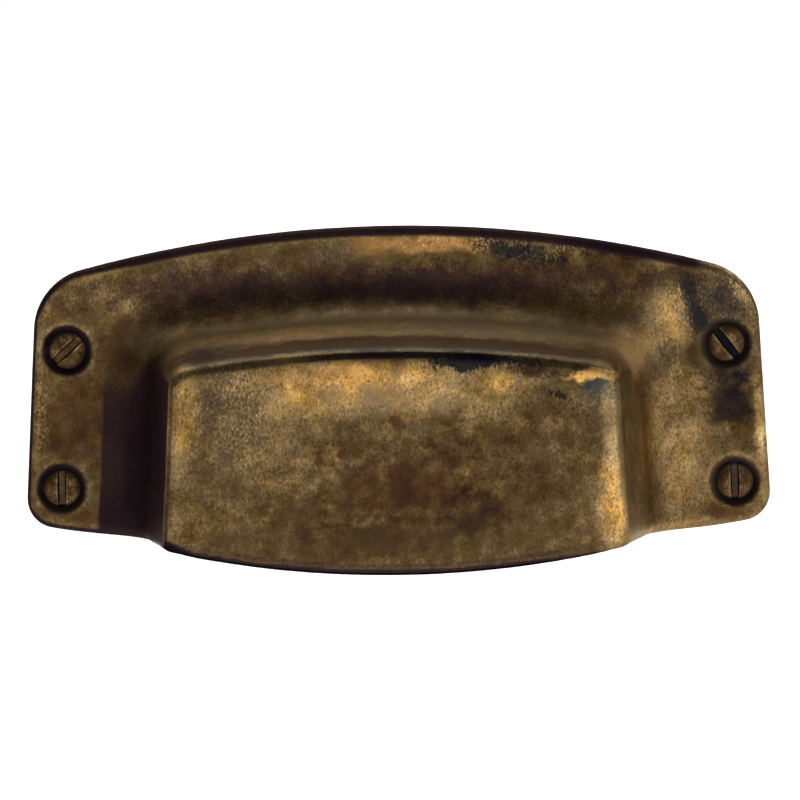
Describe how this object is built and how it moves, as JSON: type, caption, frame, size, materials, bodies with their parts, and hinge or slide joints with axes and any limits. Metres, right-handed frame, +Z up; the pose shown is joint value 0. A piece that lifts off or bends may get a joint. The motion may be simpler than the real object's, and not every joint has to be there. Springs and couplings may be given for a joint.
{
  "type": "bin pull",
  "caption": "Cast brass bin pull: an arched flange and a drafted hollow hood with a coved root and crowned face, open below for the fingers, fixed to a drawer front by slotted screws.",
  "frame": {"origin": "middle of the screw pattern on the plane of the back face", "axes": "+X to the right as seen from the front, +Y into the drawer front, +Z up; the hood comes forward along -Y"},
  "size_m": [0.1, 0.0382, 0.0446],
  "materials": {
    "patinated_cast_brass": "sand-cast brass with a rubbed brown and olive patina, worn to gold on the raised edges",
    "darkened_screw_brass": "turned brass darkened with age, brighter on the crown of the head"
  },
  "bodies": {
    "root": {"pull_casting": "patinated_cast_brass", "mounting_screws": "darkened_screw_brass"}
  },
  "joints": []
}
